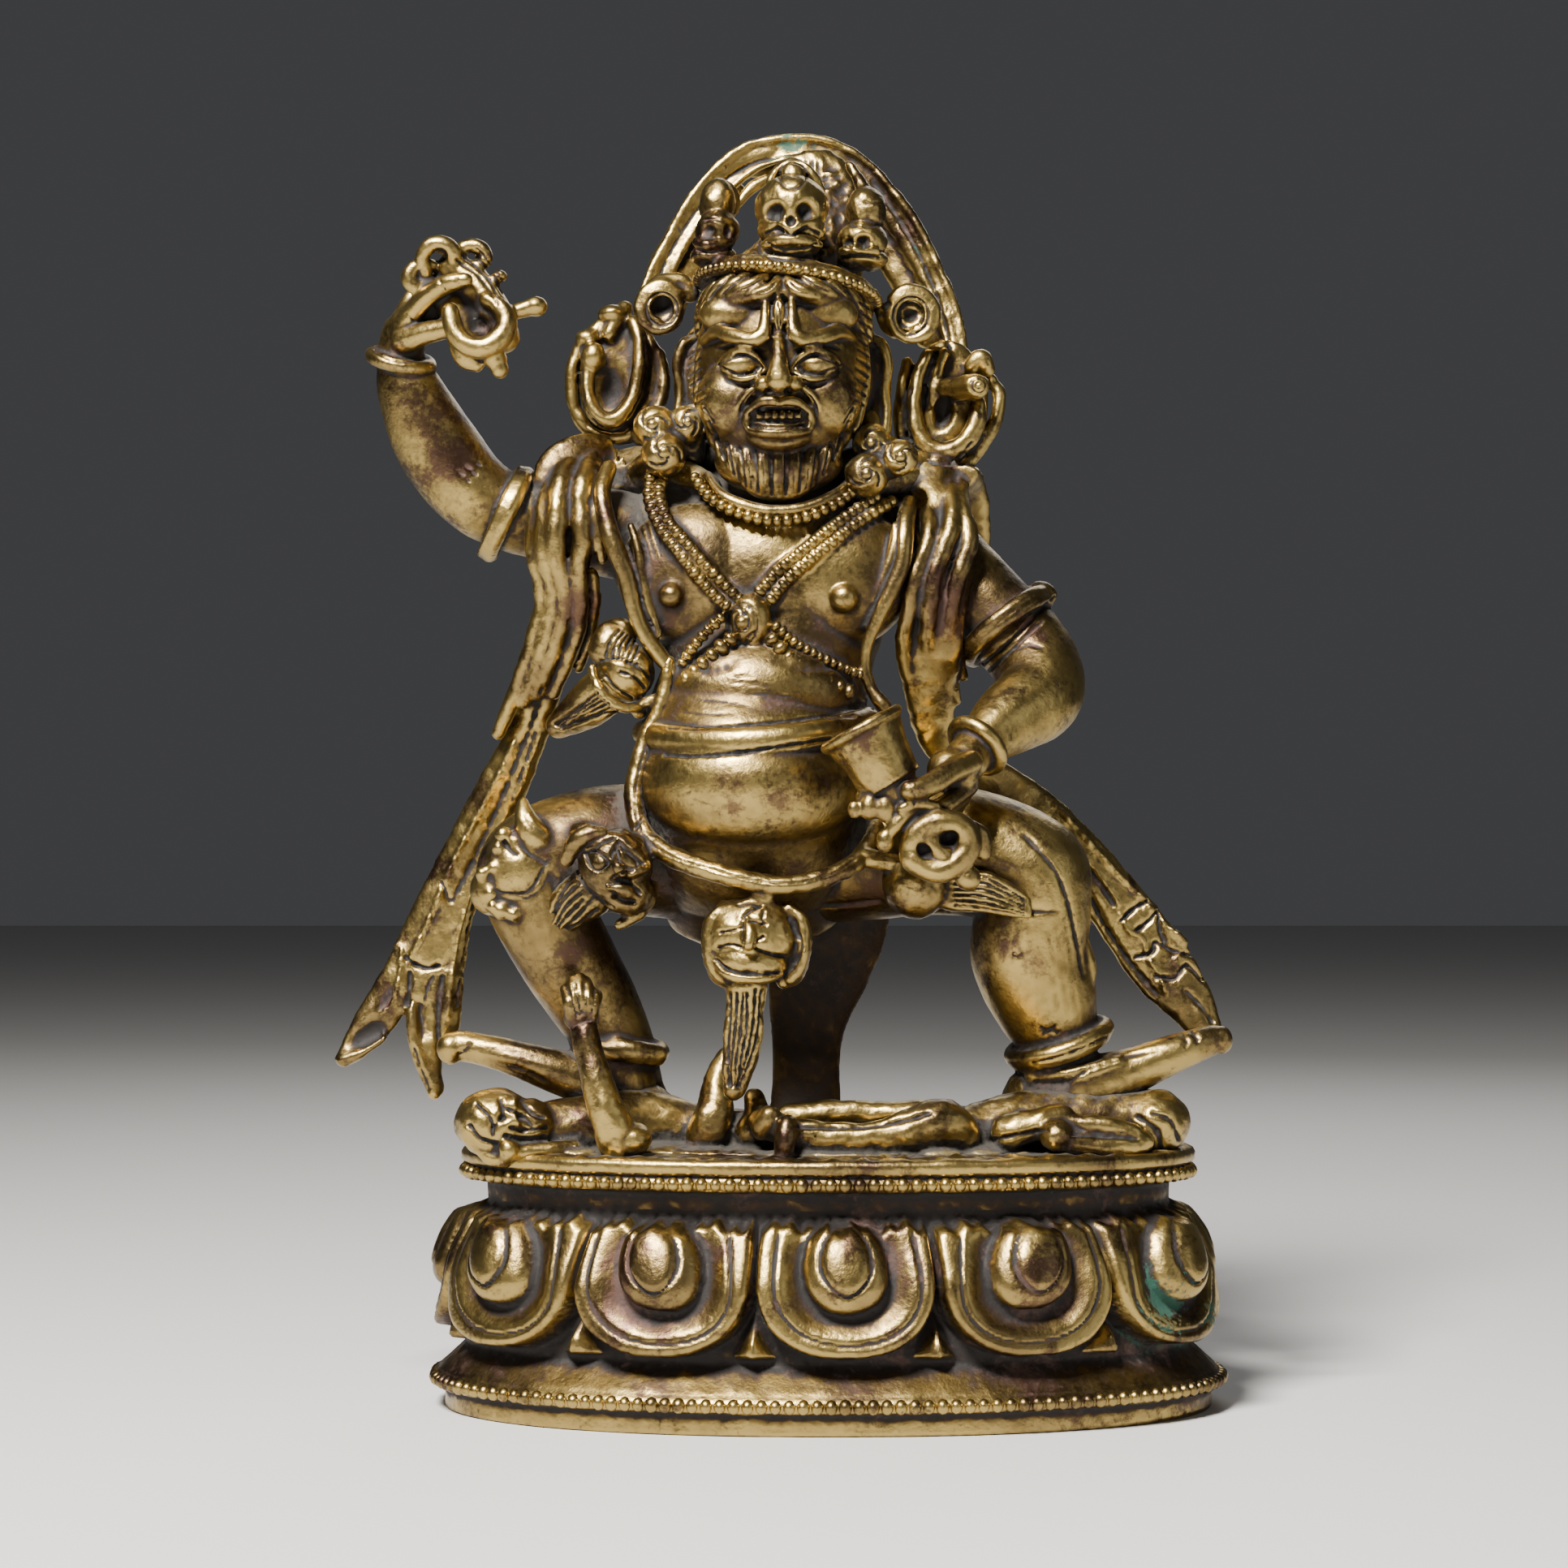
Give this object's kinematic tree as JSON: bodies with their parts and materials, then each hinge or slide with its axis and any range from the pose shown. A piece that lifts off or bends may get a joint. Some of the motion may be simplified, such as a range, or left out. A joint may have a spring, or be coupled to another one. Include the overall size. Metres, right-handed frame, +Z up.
{
  "type": "cast brass statue",
  "caption": "Small cast brass statue of a wrathful guardian in a wide lunge, with raised scepter, bell, skull crown and billowing scarf, on an oval lotus pedestal",
  "frame": {"origin": "middle of the pedestal's flat underside", "axes": "+Z up, the statue's front faces -Y, +X to the viewer's right"},
  "size_m": [0.1224, 0.062, 0.1749],
  "materials": {
    "brass": "aged, dark brown patina in the recesses"
  },
  "bodies": {
    "root": {"vajrapani_statue": "brass"}
  },
  "joints": []
}
